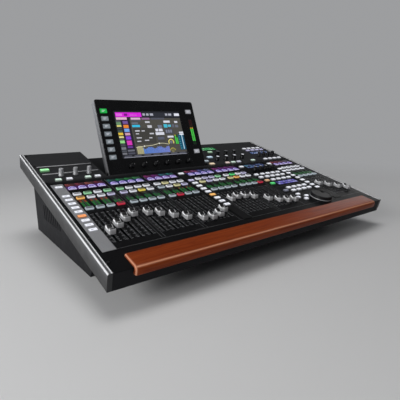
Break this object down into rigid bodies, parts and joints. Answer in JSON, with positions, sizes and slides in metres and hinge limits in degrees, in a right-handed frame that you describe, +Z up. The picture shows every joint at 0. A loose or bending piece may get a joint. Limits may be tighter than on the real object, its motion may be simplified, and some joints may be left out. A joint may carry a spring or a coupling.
{
  "type": "mixing console",
  "caption": "Digital mixing console: thin sloping deck with motor faders, lit keys, a wooden armrest and a colour display that tilts up from a recess.",
  "frame": {"origin": "on the desk plane under the feet, at the middle of the width and midway between the deck's front and rear extremes", "axes": "+Z up, +X to the operator's right along the console's width, +Y away from the operator; the deck rises 14.4 degrees towards +Y"},
  "size_m": [0.87, 0.5704, 0.3677],
  "materials": {
    "cheek_metal": "satin silver-grey",
    "deck_paint": "fine-textured matt charcoal",
    "tray_paint": "fine-textured matt black",
    "rear_paint": "fine-textured matt black",
    "bracket_steel": "brushed",
    "armrest_wood": "satin lacquered reddish brown",
    "foot_rubber": "matt",
    "plate_metal": "satin light grey",
    "window_plastic": "clear gloss over coloured displays",
    "frame_steel": "zinc plated",
    "board_green": "solder mask",
    "supply_steel": "zinc plated",
    "socket_black": "satin",
    "screw_black": "black oxide",
    "bezel_gloss": "gloss black",
    "cover_metal": "satin silver-grey",
    "screen_glass": "gloss with a lit picture behind",
    "pin_steel": "turned",
    "key_plastic": "translucent white, lit from behind",
    "knob_black": "satin black with a pale line",
    "knob_silver": "satin turned",
    "wheel_black": "satin black",
    "cap_silver": "metallic silver-grey with a dark finger dish",
    "rocker_black": "satin"
  },
  "bodies": {
    "root": {"left_cheek": "cheek_metal", "right_cheek": "cheek_metal", "top_panel": "deck_paint", "wing_tray": "tray_paint", "base_pan": "tray_paint", "rear_panel": "rear_paint", "display_well": "deck_paint", "hinge_lugs": "bracket_steel", "armrest": "armrest_wood", "feet": "foot_rubber", "layer_plates": "plate_metal", "panel_windows": "window_plastic", "motor_fader_frames": "frame_steel", "circuit_boards": "board_green", "power_supply": "supply_steel", "rear_sockets": "socket_black", "screws": "screw_black"},
    "display": {"display_bezel": "bezel_gloss", "display_cover": "cover_metal", "display_module": "screen_glass", "hinge_pins": "pin_steel"},
    "display_keys": {"display_keys": "key_plastic"},
    "display_knobs": {"display_knobs": "knob_black"},
    "jog_wheel": {"jog_wheel": "wheel_black"},
    "strip_keys": {"strip_keys": "key_plastic"},
    "layer_keys": {"layer_keys": "key_plastic"},
    "function_keys": {"function_keys": "key_plastic"},
    "control_knobs": {"control_knobs": "knob_black"},
    "power_rocker": {"power_rocker": "rocker_black"},
    "monitor_knob_1": {"monitor_knob_1": "knob_silver"},
    "monitor_knob_2": {"monitor_knob_2": "knob_silver"},
    "monitor_knob_3": {"monitor_knob_3": "knob_silver"},
    "user_knob_1": {"user_knob_1": "knob_silver"},
    "user_knob_2": {"user_knob_2": "knob_silver"},
    "user_knob_3": {"user_knob_3": "knob_silver"},
    "user_knob_4": {"user_knob_4": "knob_silver"},
    "fader_01": {"fader_01": "cap_silver"},
    "fader_02": {"fader_02": "cap_silver"},
    "fader_03": {"fader_03": "cap_silver"},
    "fader_04": {"fader_04": "cap_silver"},
    "fader_05": {"fader_05": "cap_silver"},
    "fader_06": {"fader_06": "cap_silver"},
    "fader_07": {"fader_07": "cap_silver"},
    "fader_08": {"fader_08": "cap_silver"},
    "fader_09": {"fader_09": "cap_silver"},
    "fader_10": {"fader_10": "cap_silver"},
    "fader_11": {"fader_11": "cap_silver"},
    "fader_12": {"fader_12": "cap_silver"},
    "fader_13": {"fader_13": "cap_silver"},
    "fader_14": {"fader_14": "cap_silver"},
    "fader_15": {"fader_15": "cap_silver"},
    "fader_16": {"fader_16": "cap_silver"},
    "fader_17": {"fader_17": "cap_silver"},
    "fader_18": {"fader_18": "cap_silver"},
    "fader_19": {"fader_19": "cap_silver"},
    "fader_20": {"fader_20": "cap_silver"},
    "fader_21": {"fader_21": "cap_silver"},
    "fader_22": {"fader_22": "cap_silver"},
    "fader_23": {"fader_23": "cap_silver"},
    "fader_24": {"fader_24": "cap_silver"}
  },
  "joints": [
    {"name": "display_tilt", "type": "hinge", "parent": "root", "child": "display", "pos_m": [0, 0.10791, 0.17437], "axis": [1, 0, 0], "range_deg": [-54.6, 9]},
    {"name": "fader_01_slide", "type": "slide", "parent": "root", "child": "fader_01", "axis": [0, 0.9686, 0.2487], "range_m": [-0.024, 0.076]},
    {"name": "fader_04_slide", "type": "slide", "parent": "root", "child": "fader_04", "axis": [0, 0.9686, 0.2487], "range_m": [-0.073, 0.027]},
    {"name": "fader_10_slide", "type": "slide", "parent": "root", "child": "fader_10", "axis": [0, 0.9686, 0.2487], "range_m": [-0.001, 0.099]},
    {"name": "fader_14_slide", "type": "slide", "parent": "root", "child": "fader_14", "axis": [0, 0.9686, 0.2487], "range_m": [-0.066, 0.034]},
    {"name": "fader_24_slide", "type": "slide", "parent": "root", "child": "fader_24", "axis": [0, 0.9686, 0.2487], "range_m": [-0.006, 0.094]},
    {"name": "jog_spin", "type": "hinge", "parent": "root", "child": "jog_wheel", "pos_m": [0.241, -0.19929, 0.10014], "axis": [0, -0.2487, 0.9686], "continuous": true},
    {"name": "strip_keys_press", "type": "slide", "parent": "root", "child": "strip_keys", "axis": [0, 0.2487, -0.9686], "range_m": [0, 0.0012]},
    {"name": "layer_keys_press", "type": "slide", "parent": "root", "child": "layer_keys", "axis": [0, 0.2487, -0.9686], "range_m": [0, 0.0012]},
    {"name": "function_keys_press", "type": "slide", "parent": "root", "child": "function_keys", "axis": [0, 0.2487, -0.9686], "range_m": [0, 0.0012]},
    {"name": "control_knobs_press", "type": "slide", "parent": "root", "child": "control_knobs", "axis": [0, 0.2487, -0.9686], "range_m": [0, 0.0005]},
    {"name": "display_keys_press", "type": "slide", "parent": "display", "child": "display_keys", "axis": [0, 0.9336, -0.3584], "range_m": [0, 0.001]},
    {"name": "display_knobs_press", "type": "slide", "parent": "display", "child": "display_knobs", "axis": [0, 0.9336, -0.3584], "range_m": [0, 0.0005]},
    {"name": "power_rocker_tilt", "type": "hinge", "parent": "root", "child": "power_rocker", "pos_m": [0.318, 0.26676, 0.081], "axis": [-1, 0, 0], "range_deg": [0, 14]},
    {"name": "monitor_knob_1_turn", "type": "hinge", "parent": "root", "child": "monitor_knob_1", "pos_m": [-0.378, 0.11647, 0.18122], "axis": [0, -0.2487, 0.9686], "range_deg": [-150, 150]},
    {"name": "user_knob_1_turn", "type": "hinge", "parent": "root", "child": "user_knob_1", "pos_m": [0.326, 0.12519, 0.18346], "axis": [0, -0.2487, 0.9686], "continuous": true},
    {"name": "monitor_knob_2_turn", "type": "hinge", "parent": "root", "child": "monitor_knob_2", "pos_m": [-0.343, 0.11647, 0.18122], "axis": [0, -0.2487, 0.9686], "range_deg": [-150, 150]},
    {"name": "monitor_knob_3_turn", "type": "hinge", "parent": "root", "child": "monitor_knob_3", "pos_m": [-0.308, 0.11647, 0.18122], "axis": [0, -0.2487, 0.9686], "range_deg": [-150, 150]},
    {"name": "user_knob_2_turn", "type": "hinge", "parent": "root", "child": "user_knob_2", "pos_m": [0.3498, 0.12519, 0.18346], "axis": [0, -0.2487, 0.9686], "continuous": true},
    {"name": "user_knob_3_turn", "type": "hinge", "parent": "root", "child": "user_knob_3", "pos_m": [0.3736, 0.12519, 0.18346], "axis": [0, -0.2487, 0.9686], "continuous": true},
    {"name": "user_knob_4_turn", "type": "hinge", "parent": "root", "child": "user_knob_4", "pos_m": [0.3974, 0.12519, 0.18346], "axis": [0, -0.2487, 0.9686], "continuous": true},
    {"name": "fader_02_slide", "type": "slide", "parent": "root", "child": "fader_02", "axis": [0, 0.9686, 0.2487], "range_m": [-0.041, 0.059]},
    {"name": "fader_03_slide", "type": "slide", "parent": "root", "child": "fader_03", "axis": [0, 0.9686, 0.2487], "range_m": [-0.059, 0.041]},
    {"name": "fader_05_slide", "type": "slide", "parent": "root", "child": "fader_05", "axis": [0, 0.9686, 0.2487], "range_m": [-0.067, 0.033]},
    {"name": "fader_06_slide", "type": "slide", "parent": "root", "child": "fader_06", "axis": [0, 0.9686, 0.2487], "range_m": [-0.056, 0.044]},
    {"name": "fader_07_slide", "type": "slide", "parent": "root", "child": "fader_07", "axis": [0, 0.9686, 0.2487], "range_m": [-0.038, 0.062]},
    {"name": "fader_08_slide", "type": "slide", "parent": "root", "child": "fader_08", "axis": [0, 0.9686, 0.2487], "range_m": [-0.021, 0.079]},
    {"name": "fader_09_slide", "type": "slide", "parent": "root", "child": "fader_09", "axis": [0, 0.9686, 0.2487], "range_m": [-0.005, 0.095]},
    {"name": "fader_11_slide", "type": "slide", "parent": "root", "child": "fader_11", "axis": [0, 0.9686, 0.2487], "range_m": [-0.006, 0.094]},
    {"name": "fader_12_slide", "type": "slide", "parent": "root", "child": "fader_12", "axis": [0, 0.9686, 0.2487], "range_m": [-0.021, 0.079]},
    {"name": "fader_13_slide", "type": "slide", "parent": "root", "child": "fader_13", "axis": [0, 0.9686, 0.2487], "range_m": [-0.061, 0.039]},
    {"name": "fader_15_slide", "type": "slide", "parent": "root", "child": "fader_15", "axis": [0, 0.9686, 0.2487], "range_m": [-0.063, 0.037]},
    {"name": "fader_16_slide", "type": "slide", "parent": "root", "child": "fader_16", "axis": [0, 0.9686, 0.2487], "range_m": [-0.053, 0.047]},
    {"name": "fader_17_slide", "type": "slide", "parent": "root", "child": "fader_17", "axis": [0, 0.9686, 0.2487], "range_m": [-0.03, 0.07]},
    {"name": "fader_18_slide", "type": "slide", "parent": "root", "child": "fader_18", "axis": [0, 0.9686, 0.2487], "range_m": [-0.014, 0.086]},
    {"name": "fader_19_slide", "type": "slide", "parent": "root", "child": "fader_19", "axis": [0, 0.9686, 0.2487], "range_m": [-0.004, 0.096]},
    {"name": "fader_20_slide", "type": "slide", "parent": "root", "child": "fader_20", "axis": [0, 0.9686, 0.2487], "range_m": [-0.001, 0.099]},
    {"name": "fader_21_slide", "type": "slide", "parent": "root", "child": "fader_21", "axis": [0, 0.9686, 0.2487], "range_m": [-0.059, 0.041]},
    {"name": "fader_22_slide", "type": "slide", "parent": "root", "child": "fader_22", "axis": [0, 0.9686, 0.2487], "range_m": [-0.041, 0.059]},
    {"name": "fader_23_slide", "type": "slide", "parent": "root", "child": "fader_23", "axis": [0, 0.9686, 0.2487], "range_m": [-0.022, 0.078]}
  ]
}
